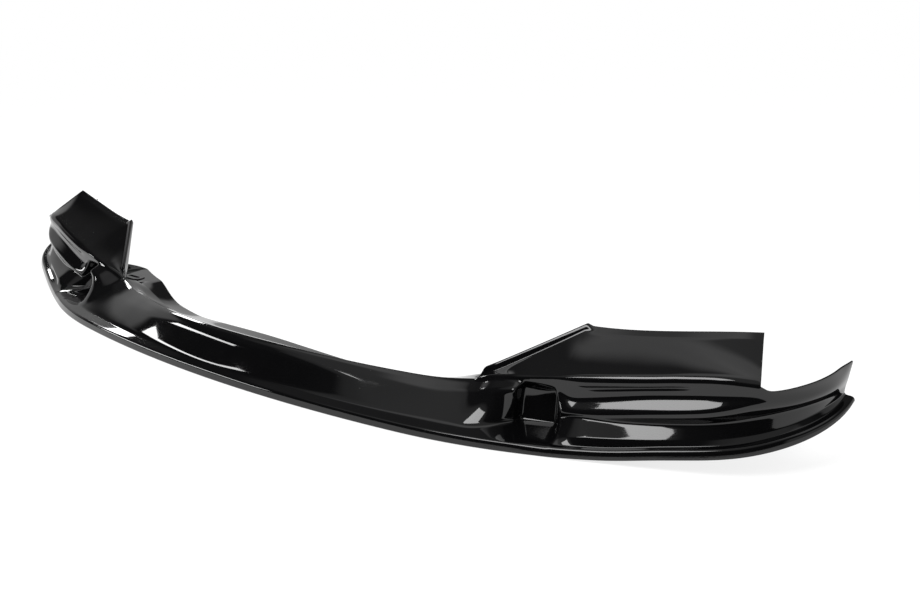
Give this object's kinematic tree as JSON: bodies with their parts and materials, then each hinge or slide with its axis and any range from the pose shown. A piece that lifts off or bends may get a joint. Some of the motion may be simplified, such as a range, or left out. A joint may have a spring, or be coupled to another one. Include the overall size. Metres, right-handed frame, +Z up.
{
  "type": "front splitter lip",
  "caption": "One-piece moulded front lip for a car bumper: a curved splitter edge, a raised wing at each end, a flat top flange and two slotted mounting ears.",
  "frame": {"origin": "middle of the car's width, halfway between the front edge and the wheel ends, on the plane of the flat underside", "axes": "+X across the car to one side, +Y towards the rear of the car, +Z up"},
  "size_m": [1.7506, 0.3806, 0.161],
  "materials": {
    "lip": "high gloss black"
  },
  "bodies": {
    "root": {"splitter_lip": "lip"}
  },
  "joints": []
}
